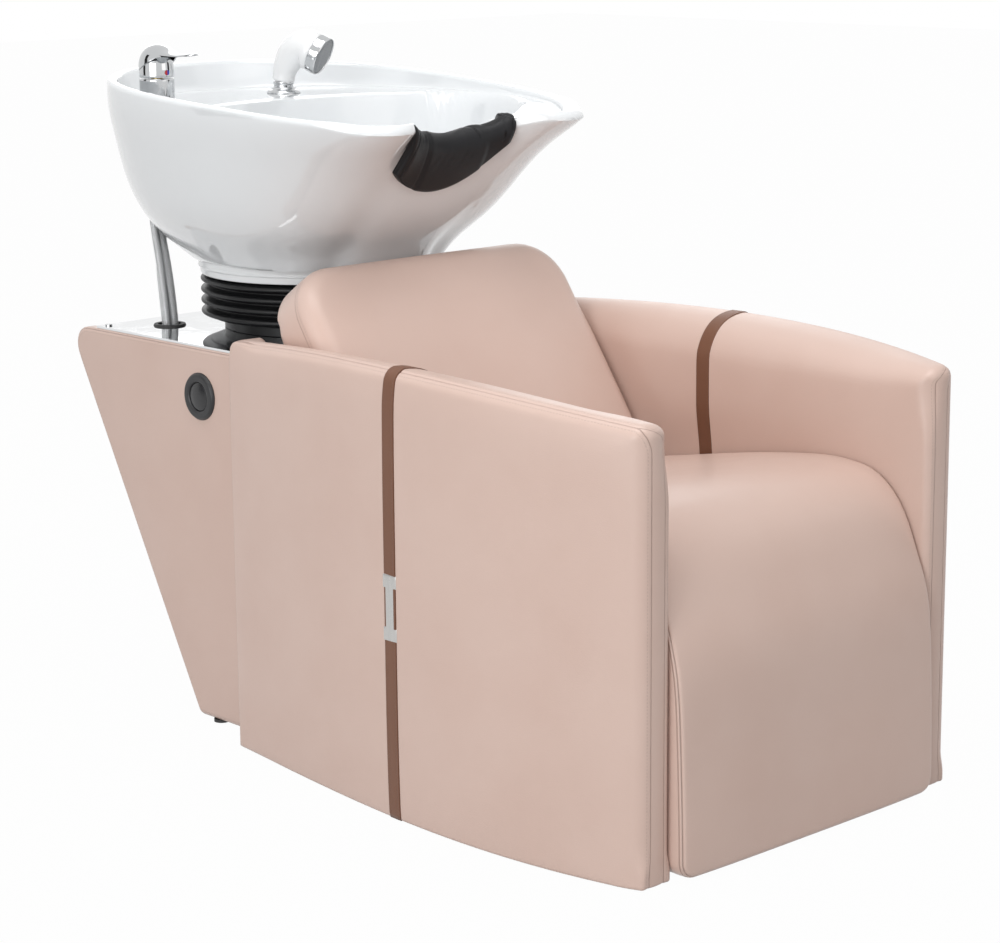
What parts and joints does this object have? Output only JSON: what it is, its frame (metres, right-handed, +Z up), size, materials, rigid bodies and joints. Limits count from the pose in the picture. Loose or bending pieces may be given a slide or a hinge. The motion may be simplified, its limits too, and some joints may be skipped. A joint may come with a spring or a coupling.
{
  "type": "salon backwash chair",
  "caption": "Upholstered armchair with a reclined back, joined to a rear housing that carries a tilting ceramic hair washing basin with mixer tap and hand shower.",
  "frame": {"origin": "on the floor, at the middle of the overall length and width", "axes": "+X across the chair, away from the side with the push button; +Y from the leg panel towards the rear of the basin; +Z up"},
  "size_m": [0.6478, 1.2013, 0.9279],
  "materials": {
    "upholstery": "satin",
    "strap": "satin",
    "buckle": "satin",
    "board": "matt",
    "foot": "matt",
    "mirror_plate": "mirror polished",
    "screw": "polished",
    "grommet": "matt",
    "bezel": "satin",
    "button": "satin",
    "switch": "matt",
    "bellows": "semi-gloss",
    "ceramic": "gloss",
    "collar": "gloss",
    "steel": "satin",
    "washer": "matt",
    "chrome": "polished",
    "brass": "satin",
    "waste_plastic": "matt",
    "drain_hose": "matt",
    "neck_pad": "satin",
    "dot": "gloss",
    "shower_white": "gloss",
    "spray_grey": "matt",
    "braid": "braided"
  },
  "bodies": {
    "chair": {"arm_left": "upholstery", "arm_right": "upholstery", "seat_cushion": "upholstery", "backrest_cushion": "upholstery", "housing_side_left": "upholstery", "housing_side_right": "upholstery", "housing_rear_panel": "upholstery", "strap_left": "strap", "strap_right": "strap", "buckle_left": "buckle", "buckle_right": "buckle", "feet": "foot", "floor_board": "board", "front_riser": "board", "seat_board": "board", "seat_cleats": "board", "back_board": "board", "back_braces": "board", "housing_front_panel": "board", "corner_cleats": "board", "housing_floor": "board", "top_plate": "mirror_plate", "plate_screws": "screw", "bracket_bolts": "screw", "hose_grommet": "grommet", "button_bezel": "bezel", "switch_body": "switch", "bellows": "bellows", "bellows_clamp": "steel", "pivot_ears": "steel", "tilt_pin": "steel", "friction_washers": "washer", "hose_manifold": "brass", "drain_outlet": "waste_plastic", "drain_hose": "drain_hose", "hot_hose": "braid", "cold_hose": "braid", "shower_hose": "braid"},
    "basin": {"basin": "ceramic", "basin_collar": "collar", "tilt_carrier": "steel", "drain_strainer": "steel", "waste_tailpiece": "waste_plastic", "waste_nut": "waste_plastic", "neck_rest": "neck_pad", "mixer_base": "chrome", "mixer_body": "chrome", "mixer_nut": "brass", "shower_escutcheon": "chrome", "shower_sleeve": "chrome", "shower_nut": "brass"},
    "mixer_stem": {"mixer_cartridge": "brass"},
    "mixer_lever": {"mixer_lever": "chrome", "mixer_dot": "dot"},
    "hand_shower": {"shower_handle": "shower_white", "shower_ring": "chrome", "spray_face": "spray_grey"},
    "button": {"button_cap": "button"}
  },
  "joints": [
    {"name": "basin_tilt", "type": "hinge", "parent": "chair", "child": "basin", "pos_m": [0, 0.3285, 0.565], "axis": [1, 0, 0], "range_deg": [-10, 5], "deforming": ["bellows", "hot_hose", "cold_hose", "shower_hose", "drain_hose"]},
    {"name": "mixer_turn", "type": "hinge", "parent": "basin", "child": "mixer_stem", "pos_m": [-0.16, 0.4635, 0.868], "axis": [0, 0, 1], "range_deg": [-45, 45]},
    {"name": "mixer_lift", "type": "hinge", "parent": "mixer_stem", "child": "mixer_lever", "pos_m": [-0.16, 0.4875, 0.8698], "axis": [-1, 0, 0], "range_deg": [0, 25]},
    {"name": "shower_lift", "type": "slide", "parent": "basin", "child": "hand_shower", "axis": [0, 0, 1], "range_m": [0, 0.25], "deforming": ["shower_hose"]},
    {"name": "button_press", "type": "slide", "parent": "chair", "child": "button", "axis": [1, 0, 0], "range_m": [0, 0.004], "stiffness_N_per_m": 900, "springref_m": -0.001}
  ]
}
